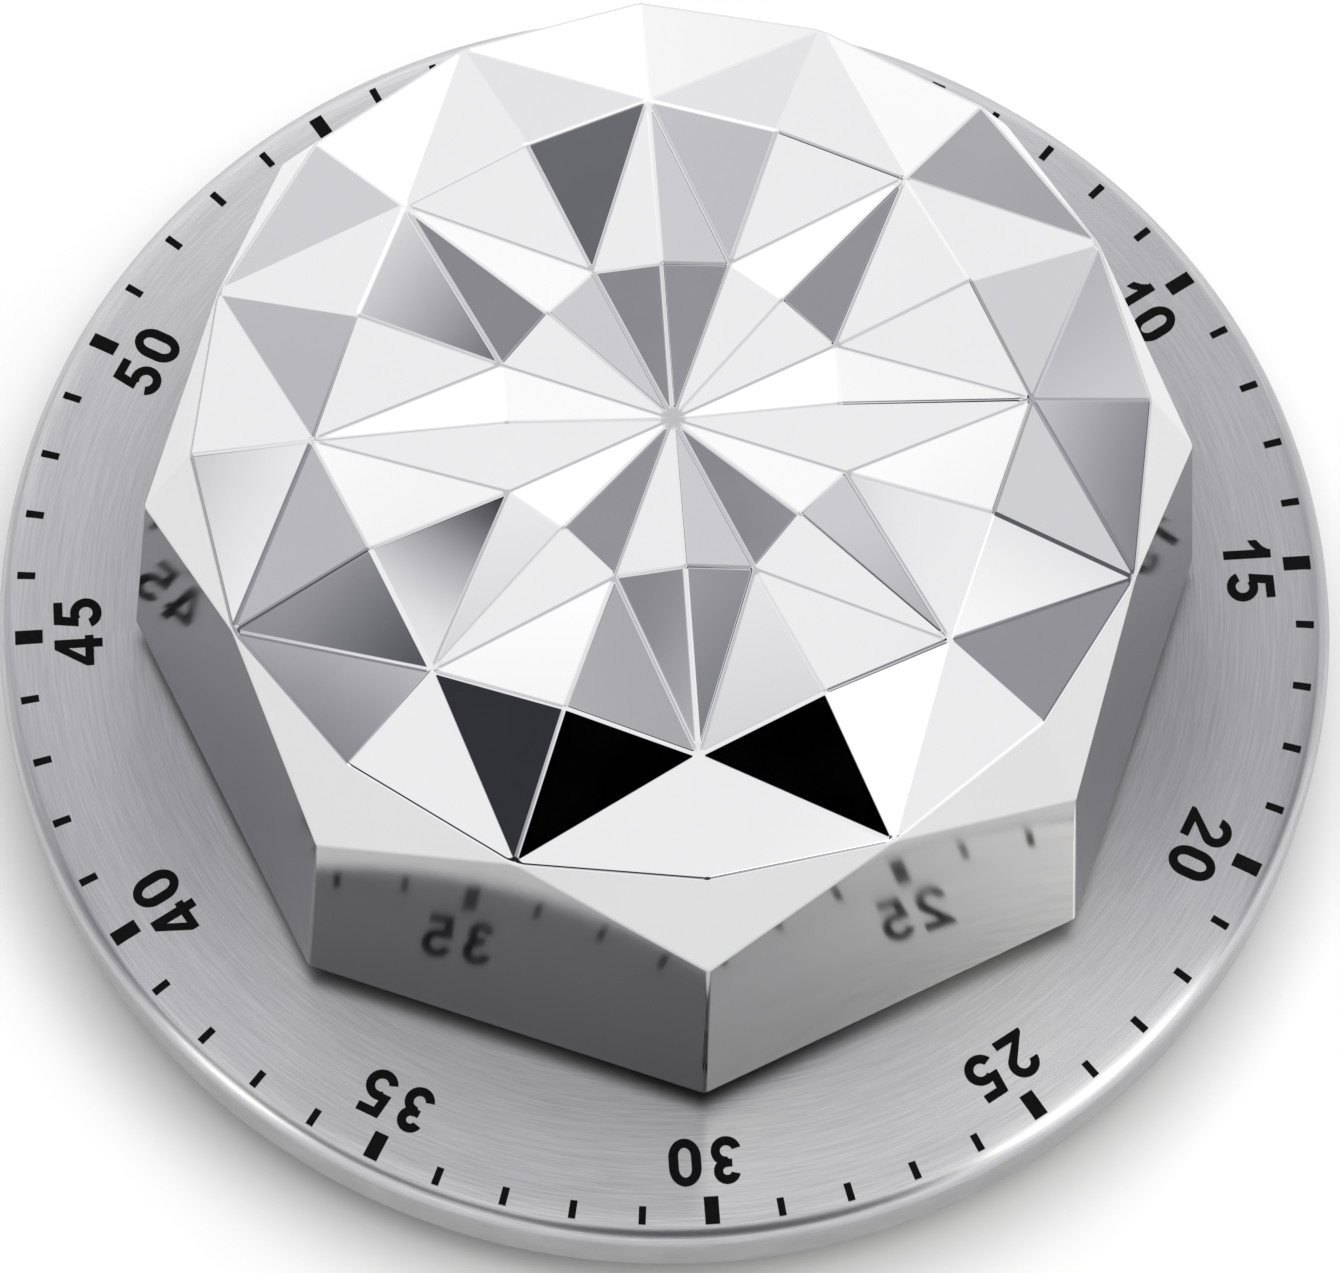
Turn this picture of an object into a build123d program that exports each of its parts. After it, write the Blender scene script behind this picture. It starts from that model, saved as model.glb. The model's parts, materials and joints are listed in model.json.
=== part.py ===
"""Wind-up kitchen timer: a faceted knob over a brushed steel dial.

Lengths are millimetres. The timer lies on its back on z = 0 with the dial facing
up (+Z). Minute 0 is at the back (+Y) and the minutes run clockwise seen from above.
"""

import math
import os

from build123d import *

# ---- overall -------------------------------------------------------------
DIAL_TOP = 9.0  # height of the dial's face
DIAL_R = 39.0  # outside radius of the steel cover
DIAL_SHEET = 0.6  # thickness of the pressed steel
DIAL_SKIRT_FOOT = 4.8  # height where the cover's skirt ends
DIAL_HOLE_R = 24.3  # hole for the movement cover
DIAL_EDGE_ROUND = 0.8  # outside rounding of the rim

# ---- printed scale -------------------------------------------------------
INK = 0.05  # height of the printed ink
MINUTES = 60
MINUTES_PER_NUMERAL = 5
MINOR_TICK = (37.45, 1.05, 0.41)  # middle radius, length, width
MAJOR_TICK = (37.20, 1.60, 0.825)
NUMERAL_R = 34.33  # radius of the middle of the numerals
DIGIT_HEIGHT = 2.80
DIGIT_PITCH = 2.33  # from the middle of one digit to the next
DIGIT_SHIFT = 0.15  # the numerals sit a little towards their last digit
DIGIT_STROKE = 0.52

# ---- knob ----------------------------------------------------------------
SIDES = 8
CORNER_STEP = 360 / SIDES
FRONT_CORNER = -90.0  # one corner points to the front
# Radius and height above the dial of each ring of the knob's corners.
APEX_HEIGHT = 25.38
STAR_TIP = (9.07, 26.22)  # at corner angles
STAR_VALLEY = (9.87, 25.45)  # half way between corners
CROWN_MID = (18.21, 26.22)  # half way between corners
CROWN_CORNER = (19.65, 25.30)  # at corner angles
RIM_CORNER = (26.35, 24.33)  # at corner angles
RIM_PEAK = (26.49, 23.42)  # half way, on the plane of a wall
SKIRT_TOP = (29.26, 17.90)  # at corner angles
SKIRT_FOOT = (30.88, 1.76)  # at corner angles
CAVITY_FOOT_APOTHEM = 26.5
CAVITY_TOP_APOTHEM = 24.2
CAVITY_TOP = 30.0
POINTER_HALF_WIDTH = 1.2
POINTER_SIDE_TOP = DIAL_TOP + 2.36  # the triangle's sides start to lean in here
POINTER_TIP = 14.2
POINTER_FLOOR_R = 29.6

KNOB_CORE_R = 23.5
KNOB_CORE_FOOT = 26.8
KNOB_SCREW_ANGLES = (30, 150, 270)
KNOB_SCREW_RING_R = 15.0
KNOB_SCREW_TIP = 31.9
KNOB_SCREW_HOLE_R = 1.0
KNOB_SCREW_SINK_R = 1.9

# ---- screws --------------------------------------------------------------
SLOT_WIDTH = 0.4
PLASTIC_SCREW_R = 0.95  # shank of the screws that hold the plastic parts
KNOB_SCREW_SHANK_R = 0.9
KNOB_SCREW_HEAD_R = 1.75
KNOB_SCREW_HEAD_Z = (27.0, 27.9)
KNOB_SCREW_SLOT_TOP = 27.4

# ---- base ----------------------------------------------------------------
FLOOR_UNDER = 0.6
FLOOR_TOP = 2.2
RIM_SEAT = DIAL_TOP - DIAL_SHEET  # the steel cover sits on the base here
SHELF_TOP = 4.6  # the steel cover's skirt ends just above this shelf
BASE_OUTLINE = (  # radius and height, from the axis outwards and back
    (0, FLOOR_UNDER),
    (34.4, FLOOR_UNDER),
    (37.6, 3.9),
    (38.6, 3.9),
    (38.6, SHELF_TOP),
    (38.1, SHELF_TOP),
    (38.1, RIM_SEAT),
    (36.9, RIM_SEAT),
    (36.9, SHELF_TOP),
    (34.4, FLOOR_TOP),
    (26.2, FLOOR_TOP),
    (26.2, RIM_SEAT),
    (24.6, RIM_SEAT),
    (24.6, FLOOR_TOP),
    (0, FLOOR_TOP),
)
PAD_EDGE_ROUND = 0.25
PAD_TOP = 1.2
PAD_RADII = (28.1, 32.9)
PAD_GROOVE_RADII = (28.0, 33.0)
MAGNET_ANGLES = (30, 150, 270)
MAGNET_RING_R = 13.0
MAGNET_R = 5.0
MAGNET_Z = (0.3, 1.9)
MAGNET_BOSS_R = 6.0
MAGNET_BOSS_TOP = 2.8
BASE_SCREW_ANGLES = (20, 140, 260)
BASE_SCREW_RING_R = 20.9
BASE_SCREW_HEAD_R = 1.9
BASE_SCREW_HEAD_Z = (0.7, 1.5)
BASE_SCREW_TIP = 7.0
BASE_SCREW_SLOT_TOP = 1.15
BASE_SCREW_SINK_R = 2.05  # recess in the floor for a screw's head
BASE_SCREW_HOLE_R = 1.2
BELL_POST_R = 3.0
BELL_POST_TOP = 6.4
BELL_SCREW_R = 0.9
BELL_SCREW_TIP = 3.0

# ---- movement cover ------------------------------------------------------
COVER_R = 24.0
COVER_INSIDE_R = 23.0
COVER_FOOT = 2.4
COVER_CEILING = 25.2
COVER_TOP = 26.4
FLANGE_R = 26.2
FLANGE_TOP = 9.9
COVER_CHAMFER = 1.0
ARBOR_HOLE_R = 3.2
SCREW_POST_R = 2.2
SCREW_POST_TOP = 8.0
SCREW_HOLE_TOP = 7.2
COVER_SINK_R = 1.75
COVER_SINK_FOOT = COVER_TOP - 0.9

# ---- movement plates -----------------------------------------------------
PLATE_R = 22.4
LOWER_PLATE = (9.0, 10.0)
TOP_PLATE = (22.2, 23.2)
PILLAR_RING_R = 20.5
PILLAR_ANGLES = (45, 135, 215, 262)
PILLAR_R = 1.5
TENON_R = 1.0
MOVEMENT_SCREW_R = 0.7
MOVEMENT_SCREW_HOLE_R = 0.9
MOVEMENT_SCREW_HEAD_R = 1.6
MOVEMENT_SCREW_HEAD_TOP = 26.3
MOVEMENT_SCREW_TIP = 19.5
MOVEMENT_SCREW_SLOT_FOOT = 26.0
PILLAR_BORE_FOOT = 19.3
SHAFT_R = 0.6
PIVOT_R = 0.4
RUNNING_FIT = 0.05  # gap all round a shaft that turns in a hole
END_SHAKE = 0.1  # end play of an arbor between the plates

# ---- main arbor ----------------------------------------------------------
ARBOR_R = 2.5
ARBOR_PIVOT_R = 1.25
ARBOR_Z = (8.05, 29.8)
ARBOR_FLAT = 1.9  # distance of the D flat from the axis
ARBOR_SHOULDER = KNOB_CORE_FOOT - 0.2  # the D end starts here
CLIP_Z = (8.3, 8.8)
CLIP_R = 2.2
CLIP_GROOVE_R = 0.95
CLIP_MOUTH = 1.2

# ---- wheel train ---------------------------------------------------------
GREAT_MODULE = 0.4
GREAT_TEETH = 48
GREAT_Z = (11.0, 12.0)
SECOND_LEAVES = 8
TRAIN_MODULE = 0.35
TRAIN_TEETH = 42
TRAIN_LEAVES = 7
SECOND_ANGLE = 200.0  # where the second arbor stands round the main one
THIRD_POLAR = (13.0, 240.65)
ESCAPE_POLAR = (13.0, 279.2)
PALLET_POLAR = (15.5, 312.0)
HAMMER_POLAR = (20.6, 90.0)
SECOND_PINION_Z = (10.6, 12.6)
SECOND_WHEEL_Z = (13.2, 14.0)
THIRD_PINION_Z = (12.8, 14.4)
THIRD_WHEEL_Z = (15.2, 16.0)
ESCAPE_PINION_Z = (14.8, 16.4)
ESCAPE_WHEEL_Z = (13.1, 13.7)
ESCAPE_TEETH = 30
ESCAPE_R = 5.5
ESCAPE_ROOT_R = 4.6
RATCHET_Z = (12.15, 12.85)
RATCHET_TEETH = 12
RATCHET_R = 4.0
RATCHET_ROOT_R = 3.4
CLICK_PIVOT_POLAR = (6.6, 130.0)
CLICK_PIVOT_R = 0.5
CLICK_BOSS_R = 1.0
CLICK_OUTLINE = ((4.1, 96), (4.1, 104), (5.7, 128), (7.5, 126), (5.6, 96))  # radius, angle
CLICK_SPRING_PIN = (7.6, 60.0)
CLICK_SPRING_PIN_R = 0.3
CLICK_SPRING_END = (5.75, 94.0)
CLICK_SPRING_SHEET = 0.22
WHEEL_WINDOWS = (5, 1.5, 4.0)  # how many, their radius and the radius of their ring
ESCAPE_WINDOWS = (4, 1.1, 2.7)
WHEEL_TOOTH = 0.40  # part of a tooth pitch that a wheel's tooth fills
LEAF_TOOTH = 0.34  # part of a tooth pitch that a pinion's leaf fills
ADDENDUM = 0.85  # height of a tooth above the pitch circle, in modules
DEDENDUM = 1.25
TIP_FRACTION = 0.45  # width of a tooth at its tip, as part of that at the pitch circle
SAW_TIP = 0.12  # width of a saw tooth's tip, in tooth pitches
RATCHET_LEAN = 0.08  # how far a tooth's tip leans, in tooth pitches
ESCAPE_LEAN = 0.35

# ---- pallet and balance bar ----------------------------------------------
PALLET_SPAN = 50.0  # angle at the escape arbor from the middle to each pallet pin
PALLET_PIN_R = 0.3
PALLET_PIN_RING = ESCAPE_R + PALLET_PIN_R + 0.3
PALLET_PIN_FOOT = ESCAPE_WHEEL_Z[0] - 0.3
PALLET_Z = (14.3, 15.0)
PALLET_BOSS_R = 1.3
PALLET_ARM_WIDTH = 0.9
PALLET_ARM_END_R = 0.55
BALANCE_Z = (17.2, 18.0)
BALANCE_REACH = 4.3
BALANCE_WIDTH = 1.1
BALANCE_HUB_R = 1.2
BALANCE_WEIGHT_R = 1.1
BALANCE_WEIGHT_Z = (16.8, 18.4)

# ---- stop, bell and hammer -----------------------------------------------
CAM_R = 9.0
CAM_Z = (23.6, 24.9)
LUG_TOP = 24.1
LUG_R = 11.5
LUG_HALF_WIDTH = 0.45
STOP_RING_R = 11.0
STOP_ANGLE = 60.0
STOP_R = 0.45
STOP_TENON_R = 0.3
STOP_LUG_LAG = 5.3  # angle from the stop post to the lug when the timer is at 0
NOTCH_ANGLE = 25.0
NOTCH_DEPTH = 1.7
NOTCH_HALF_WIDTH = 1.3
FINGER_Z = (24.2, 24.9)
FINGER_GAP = 0.25  # gap from the finger's nose to the rim of the cam
FINGER_NOSE_R = 0.4
FINGER_WIDTH = 0.8
FINGER_BOSS_R = 1.5
BELL_FOOT = 3.2
BELL_TOP = 7.2
BELL_WALL = 0.8
BELL_OUTLINE = (  # radius and height, over the outside and back along the inside
    (1.0, BELL_TOP - BELL_WALL),
    (1.0, BELL_TOP),
    (13.5, BELL_TOP),
    (15.6, 6.7),
    (16.9, 5.7),
    (17.5, 4.5),
    (17.5, BELL_FOOT),
    (16.7, BELL_FOOT),
    (16.7, 4.4),
    (16.2, 5.3),
    (15.1, 6.1),
    (13.4, BELL_TOP - BELL_WALL),
)
BELL_SCREW_HEAD_R = 2.0
BELL_SCREW_HEAD_TOP = 7.9
BELL_SCREW_SLOT_FOOT = 7.5
HEAD_POLAR = (19.1, 72.0)
HEAD_R = 1.3
HEAD_Z = (3.4, 5.2)
ARM_Z = (3.8, 4.8)
ARM_WIDTH = 0.9
ARM_BOSS_R = 1.4
HAMMER_SHAFT_R = 0.8

# ---- springs -------------------------------------------------------------
MAINSPRING_R = (2.9, 9.75)
MAINSPRING_Z = (17.0, 21.5)
MAINSPRING_TURNS = 7.25
MAINSPRING_SHEET = 0.25
SPRING_POST_POLAR = (10.9, 90.0)
SPRING_POST_R = 0.9
SPRING_POST_TENON_R = 0.6
HAMMER_COIL_R = 1.35
HAMMER_WIRE_R = 0.18
HAMMER_COIL_Z = LOWER_PLATE[1] + HAMMER_WIRE_R
HAMMER_COIL_PITCH = 0.6
HAMMER_COIL_TURNS = 6


def polar(radius, angle):
    """The x, y of a point at a radius and an angle in degrees."""
    return (
        radius * math.cos(math.radians(angle)),
        radius * math.sin(math.radians(angle)),
    )


def moved(point, x, y):
    """A 2-D point shifted by x, y."""
    return (point[0] + x, point[1] + y)


def turned(profile):
    """Adds the solid swept by an (r, z) outline round the vertical axis."""
    with BuildSketch(Plane.XZ) as outline:
        Polygon(*profile, align=None)
    revolve(outline.sketch, axis=Axis.Z)


def disc(radius, z_range, at=(0, 0), mode=Mode.ADD):
    """Adds or cuts an upright cylinder."""
    with Locations((at[0], at[1], z_range[0])):
        Cylinder(
            radius,
            z_range[1] - z_range[0],
            align=(Align.CENTER, Align.CENTER, Align.MIN),
            mode=mode,
        )


def prism(points, z_range, mode=Mode.ADD):
    """Adds or cuts an upright prism on a polygon."""
    with BuildSketch(Plane.XY.offset(z_range[0])) as outline:
        Polygon(*points, align=None)
    extrude(outline.sketch, amount=z_range[1] - z_range[0], mode=mode)


def bar(start, end, width, z_range, mode=Mode.ADD):
    """Adds or cuts a straight flat bar with square ends between two points."""
    dx = end[0] - start[0]
    dy = end[1] - start[1]
    length = math.hypot(dx, dy)
    nx = -dy / length * width / 2
    ny = dx / length * width / 2
    corners = [
        moved(start, nx, ny),
        moved(start, -nx, -ny),
        moved(end, -nx, -ny),
        moved(end, nx, ny),
    ]
    prism(corners, z_range, mode)


def slot(radius, z_range, at=(0, 0), crossed=False):
    """Cuts a screwdriver slot, or two that cross, into a screw's head."""
    left, right = moved(at, -radius, 0), moved(at, radius, 0)
    bar(left, right, SLOT_WIDTH, z_range, Mode.SUBTRACT)
    if crossed:
        front, back = moved(at, 0, -radius), moved(at, 0, radius)
        bar(front, back, SLOT_WIDTH, z_range, Mode.SUBTRACT)


def finish(part, name):
    """Labels a finished piece and writes it to its own file."""
    part.label = name
    export_step(part, f"parts/{name}.step")


os.makedirs("parts", exist_ok=True)


# ===========================================================================
# Base
# ===========================================================================

with BuildPart() as base_housing:
    turned(BASE_OUTLINE)
    with BuildSketch(Plane.XY.offset(FLOOR_UNDER)) as pad_groove:
        Circle(PAD_GROOVE_RADII[1])
        Circle(PAD_GROOVE_RADII[0], mode=Mode.SUBTRACT)
    extrude(amount=PAD_TOP - FLOOR_UNDER, mode=Mode.SUBTRACT)
    disc(BELL_POST_R, (FLOOR_TOP, BELL_POST_TOP))
    disc(BELL_SCREW_R, (BELL_SCREW_TIP, BELL_POST_TOP), mode=Mode.SUBTRACT)
    for angle in MAGNET_ANGLES:
        spot = polar(MAGNET_RING_R, angle)
        disc(MAGNET_BOSS_R, (FLOOR_TOP, MAGNET_BOSS_TOP), spot)
        disc(MAGNET_R, (FLOOR_UNDER, MAGNET_Z[1]), spot, Mode.SUBTRACT)
    for angle in BASE_SCREW_ANGLES:
        spot = polar(BASE_SCREW_RING_R, angle)
        disc(BASE_SCREW_HOLE_R, (FLOOR_UNDER, FLOOR_TOP), spot, Mode.SUBTRACT)
        disc(BASE_SCREW_SINK_R, (FLOOR_UNDER, BASE_SCREW_HEAD_Z[1]), spot, Mode.SUBTRACT)
finish(base_housing.part, "base_housing")

with BuildPart() as foot_pad:
    with BuildSketch() as pad_ring:
        Circle(PAD_RADII[1])
        Circle(PAD_RADII[0], mode=Mode.SUBTRACT)
    extrude(amount=PAD_TOP)
    fillet(foot_pad.faces().sort_by(Axis.Z)[0].edges(), radius=PAD_EDGE_ROUND)
finish(foot_pad.part, "foot_pad")

with BuildPart() as magnets:
    for angle in MAGNET_ANGLES:
        disc(MAGNET_R, MAGNET_Z, polar(MAGNET_RING_R, angle))
finish(magnets.part, "magnets")

with BuildPart() as base_screws:
    for angle in BASE_SCREW_ANGLES:
        spot = polar(BASE_SCREW_RING_R, angle)
        disc(BASE_SCREW_HEAD_R, BASE_SCREW_HEAD_Z, spot)
        disc(PLASTIC_SCREW_R, (BASE_SCREW_HEAD_Z[1], BASE_SCREW_TIP), spot)
        slot_z = (BASE_SCREW_HEAD_Z[0], BASE_SCREW_SLOT_TOP)
        slot(BASE_SCREW_HOLE_R, slot_z, spot, crossed=True)
finish(base_screws.part, "base_screws")


# ===========================================================================
# Dial and printed scale
# ===========================================================================

with BuildPart() as dial_cover:
    turned(
        [
            (DIAL_HOLE_R, RIM_SEAT),
            (DIAL_HOLE_R, DIAL_TOP),
            (DIAL_R, DIAL_TOP),
            (DIAL_R, DIAL_SKIRT_FOOT),
            (DIAL_R - DIAL_SHEET, DIAL_SKIRT_FOOT),
            (DIAL_R - DIAL_SHEET, RIM_SEAT),
        ]
    )
    top_circles = dial_cover.edges().group_by(Axis.Z)[-1]
    fillet(top_circles.sort_by(SortBy.RADIUS)[-1], radius=DIAL_EDGE_ROUND)
finish(dial_cover.part, "dial_cover")


def digit_zero():
    """Outline of a 0, added to the sketch at hand and centred on its origin."""
    half = DIGIT_HEIGHT / 2
    outer_half_width = 0.92
    outer_end = 1.1
    inner_half_width = outer_half_width - DIGIT_STROKE - 0.04
    inner_end = 0.5
    inner_top = half - DIGIT_STROKE
    straight = half - outer_end
    with Locations((0, straight), (0, -straight)):
        Ellipse(outer_half_width, outer_end)
    Rectangle(2 * outer_half_width, 2 * straight)
    inner_straight = inner_top - inner_end
    with Locations((0, inner_straight), (0, -inner_straight)):
        Ellipse(inner_half_width, inner_end, mode=Mode.SUBTRACT)
    Rectangle(2 * inner_half_width, 2 * inner_straight, mode=Mode.SUBTRACT)


def digit_one():
    """Outline of a 1: an upright with a flag to the left."""
    half = DIGIT_HEIGHT / 2
    stem_left = 0.02
    stem_right = stem_left + DIGIT_STROKE
    with Locations(((stem_left + stem_right) / 2, 0)):
        Rectangle(DIGIT_STROKE, DIGIT_HEIGHT)
    Polygon(
        (stem_right, half),
        (stem_left + 0.1, half),
        (stem_left - 0.2, half - 0.45),
        (stem_left - 0.62, half - 0.78),
        (stem_left - 0.62, half - 1.28),
        (stem_left - 0.3, half - 1.12),
        (stem_left + 0.05, half - 0.8),
        align=None,
    )


def stroke_arc(centre, radius, start, sweep):
    """Adds an arc-shaped stroke, its radius measured to the middle of the stroke."""
    reach = radius + DIGIT_STROKE
    steps = 6
    fan = [centre]
    for step in range(steps + 1):
        angle = start + sweep * step / steps
        fan.append(moved(polar(2 * reach, angle), *centre))
    with BuildSketch() as stroke:
        with Locations(centre):
            Circle(radius + DIGIT_STROKE / 2)
            Circle(radius - DIGIT_STROKE / 2, mode=Mode.SUBTRACT)
        Polygon(*fan, align=None, mode=Mode.INTERSECT)
    add(stroke.sketch)


def digit_two():
    """Outline of a 2: a hook, a slanting neck and a foot."""
    half = DIGIT_HEIGHT / 2
    hook_r = 0.64
    hook = (0.0, half - DIGIT_STROKE / 2 - hook_r)
    stroke_arc(hook, hook_r, -35, 215)
    outside = moved(polar(hook_r + DIGIT_STROKE / 2, -35), *hook)
    inside = moved(polar(hook_r - DIGIT_STROKE / 2, -35), *hook)
    foot_top = -half + DIGIT_STROKE
    Polygon(
        outside,
        inside,
        (-0.9, -half + 0.25),
        (-0.9, -half),
        (-0.4, -half),
        (-0.12, foot_top),
        align=None,
    )
    Polygon(
        (-0.9, -half), (0.9, -half), (0.9, foot_top), (-0.55, foot_top), align=None
    )


def digit_three():
    """Outline of a 3: two bowls that meet in a short bar."""
    half = DIGIT_HEIGHT / 2
    upper_r = 0.50
    lower_r = 0.60
    upper = (-0.02, half - DIGIT_STROKE / 2 - upper_r)
    lower = (-0.02, -half + DIGIT_STROKE / 2 + lower_r)
    stroke_arc(upper, upper_r, -100, 265)
    stroke_arc(lower, lower_r, -165, 265)
    with Locations((-0.08, 0.16)):
        Rectangle(0.5, 0.44)


def digit_four():
    """Outline of a 4: an upright, a crossbar and a slanting side."""
    half = DIGIT_HEIGHT / 2
    stem_left = 0.18
    stem_right = stem_left + DIGIT_STROKE
    bar_low = -0.88
    bar_high = bar_low + 0.50
    Polygon(
        (stem_right, half),
        (stem_left - 0.05, half),
        (-0.96, bar_high - 0.05),
        (-0.96, bar_low),
        (0.92, bar_low),
        (0.92, bar_high),
        (stem_right, bar_high),
        align=None,
    )
    Polygon(
        (stem_left, half - 0.75),
        (stem_left, bar_high),
        (-0.42, bar_high),
        align=None,
        mode=Mode.SUBTRACT,
    )
    with Locations(((stem_left + stem_right) / 2, (bar_low - half) / 2)):
        Rectangle(DIGIT_STROKE, half + bar_low)


def digit_five():
    """Outline of a 5: a top bar, a short upright and an open bowl."""
    half = DIGIT_HEIGHT / 2
    bowl_r = 0.66
    bowl = (0.0, -half + DIGIT_STROKE / 2 + bowl_r)
    stroke_arc(bowl, bowl_r, -160, 285)
    bar_left = -0.62
    Polygon(
        (bar_left, half),
        (0.74, half),
        (0.74, half - DIGIT_STROKE),
        (bar_left + 0.46, half - DIGIT_STROKE),
        (bar_left + 0.38, 0.30),
        (-0.30, -0.05),
        (-0.80, -0.05),
        align=None,
    )


DIGITS = {
    "0": digit_zero,
    "1": digit_one,
    "2": digit_two,
    "3": digit_three,
    "4": digit_four,
    "5": digit_five,
}


def digit_face(digit):
    """A digit as a flat sketch centred on the origin."""
    with BuildSketch() as outline:
        DIGITS[digit]()
    return outline.sketch


with BuildPart() as minute_marks:
    with BuildSketch(Plane.XY.offset(DIAL_TOP)) as ticks:
        for minute in range(MINUTES):
            is_major = minute % MINUTES_PER_NUMERAL == 0
            radius, length, width = MAJOR_TICK if is_major else MINOR_TICK
            angle = 90 - minute * 360 / MINUTES
            with Locations(Location((*polar(radius, angle), 0), (0, 0, angle))):
                Rectangle(length, width)
    extrude(amount=INK)
finish(minute_marks.part, "minute_marks")

with BuildPart() as dial_numerals:
    faces_by_digit = {digit: digit_face(digit) for digit in DIGITS}
    for minute in range(0, MINUTES, MINUTES_PER_NUMERAL):
        text = str(minute)
        angle = 90 - minute * 360 / MINUTES
        spot = Location((*polar(NUMERAL_R, angle), DIAL_TOP), (0, 0, angle - 90))
        first = -DIGIT_PITCH * (len(text) - 1) / 2 + DIGIT_SHIFT * (len(text) - 1)
        for index, digit in enumerate(text):
            place = spot * Location((first + index * DIGIT_PITCH, 0, 0))
            extrude(faces_by_digit[digit].moved(place), amount=INK)
finish(dial_numerals.part, "dial_numerals")


# ===========================================================================
# Movement cover
# ===========================================================================

with BuildPart() as movement_cover:
    turned(
        [
            (COVER_INSIDE_R, COVER_FOOT),
            (COVER_R, COVER_FOOT),
            (COVER_R, DIAL_TOP),
            (FLANGE_R, DIAL_TOP),
            (FLANGE_R, FLANGE_TOP),
            (COVER_R, FLANGE_TOP),
            (COVER_R, COVER_TOP - COVER_CHAMFER),
            (COVER_R - COVER_CHAMFER, COVER_TOP),
            (ARBOR_HOLE_R, COVER_TOP),
            (ARBOR_HOLE_R, COVER_CEILING),
            (COVER_INSIDE_R, COVER_CEILING),
        ]
    )
    for angle in BASE_SCREW_ANGLES:
        spot = polar(BASE_SCREW_RING_R, angle)
        disc(SCREW_POST_R, (COVER_FOOT, SCREW_POST_TOP), spot)
        disc(PLASTIC_SCREW_R, (COVER_FOOT, SCREW_HOLE_TOP), spot, Mode.SUBTRACT)
    for angle in PILLAR_ANGLES:
        spot = polar(PILLAR_RING_R, angle)
        disc(SCREW_POST_R, (TOP_PLATE[1], COVER_CEILING), spot)
        disc(MOVEMENT_SCREW_HOLE_R, (TOP_PLATE[1], COVER_TOP), spot, Mode.SUBTRACT)
        disc(COVER_SINK_R, (COVER_SINK_FOOT, COVER_TOP), spot, Mode.SUBTRACT)
finish(movement_cover.part, "movement_cover")

with BuildPart() as movement_screws:
    for angle in PILLAR_ANGLES:
        spot = polar(PILLAR_RING_R, angle)
        disc(MOVEMENT_SCREW_HEAD_R, (COVER_SINK_FOOT, MOVEMENT_SCREW_HEAD_TOP), spot)
        disc(MOVEMENT_SCREW_R, (MOVEMENT_SCREW_TIP, COVER_SINK_FOOT), spot)
        slot(MOVEMENT_SCREW_HEAD_R, (MOVEMENT_SCREW_SLOT_FOOT, COVER_TOP), spot)
finish(movement_screws.part, "movement_screws")


# ===========================================================================
# Plates and pillars
# ===========================================================================

SECOND_DISTANCE = GREAT_MODULE * (GREAT_TEETH + SECOND_LEAVES) / 2
SECOND_AT = polar(SECOND_DISTANCE, SECOND_ANGLE)
THIRD_AT = polar(*THIRD_POLAR)
ESCAPE_AT = polar(*ESCAPE_POLAR)
PALLET_AT = polar(*PALLET_POLAR)
HAMMER_AT = polar(*HAMMER_POLAR)
SPRING_POST_AT = polar(*SPRING_POST_POLAR)
STOP_AT = polar(STOP_RING_R, STOP_ANGLE)
TRAIN_SPOTS = (SECOND_AT, THIRD_AT, ESCAPE_AT, PALLET_AT)

with BuildPart() as lower_plate:
    disc(PLATE_R, LOWER_PLATE)
    disc(ARBOR_PIVOT_R + RUNNING_FIT, LOWER_PLATE, mode=Mode.SUBTRACT)
    disc(HAMMER_SHAFT_R + RUNNING_FIT, LOWER_PLATE, HAMMER_AT, Mode.SUBTRACT)
    disc(SPRING_POST_TENON_R, LOWER_PLATE, SPRING_POST_AT, Mode.SUBTRACT)
    for spot in TRAIN_SPOTS:
        disc(PIVOT_R + RUNNING_FIT, LOWER_PLATE, spot, Mode.SUBTRACT)
    for angle in PILLAR_ANGLES:
        disc(TENON_R, LOWER_PLATE, polar(PILLAR_RING_R, angle), Mode.SUBTRACT)
finish(lower_plate.part, "lower_plate")

with BuildPart() as top_plate:
    disc(PLATE_R, TOP_PLATE)
    disc(ARBOR_R + RUNNING_FIT, TOP_PLATE, mode=Mode.SUBTRACT)
    disc(HAMMER_SHAFT_R + RUNNING_FIT, TOP_PLATE, HAMMER_AT, Mode.SUBTRACT)
    disc(SPRING_POST_TENON_R, TOP_PLATE, SPRING_POST_AT, Mode.SUBTRACT)
    disc(STOP_TENON_R, TOP_PLATE, STOP_AT, Mode.SUBTRACT)
    for spot in TRAIN_SPOTS:
        disc(PIVOT_R + RUNNING_FIT, TOP_PLATE, spot, Mode.SUBTRACT)
    for angle in PILLAR_ANGLES:
        spot = polar(PILLAR_RING_R, angle)
        disc(MOVEMENT_SCREW_HOLE_R, TOP_PLATE, spot, Mode.SUBTRACT)
finish(top_plate.part, "top_plate")

with BuildPart() as pillars:
    for angle in PILLAR_ANGLES:
        spot = polar(PILLAR_RING_R, angle)
        disc(PILLAR_R, (LOWER_PLATE[1], TOP_PLATE[0]), spot)
        disc(TENON_R, LOWER_PLATE, spot)
        disc(MOVEMENT_SCREW_R, (PILLAR_BORE_FOOT, TOP_PLATE[0]), spot, Mode.SUBTRACT)
finish(pillars.part, "pillars")

with BuildPart() as stop_post:
    disc(STOP_TENON_R, TOP_PLATE, STOP_AT)
    disc(STOP_R, (TOP_PLATE[1], LUG_TOP), STOP_AT)
finish(stop_post.part, "stop_post")

with BuildPart() as spring_post:
    disc(SPRING_POST_R, (LOWER_PLATE[1], TOP_PLATE[0]), SPRING_POST_AT)
    disc(SPRING_POST_TENON_R, (LOWER_PLATE[0], TOP_PLATE[1]), SPRING_POST_AT)
finish(spring_post.part, "spring_post")


# ===========================================================================
# Bell
# ===========================================================================

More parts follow.
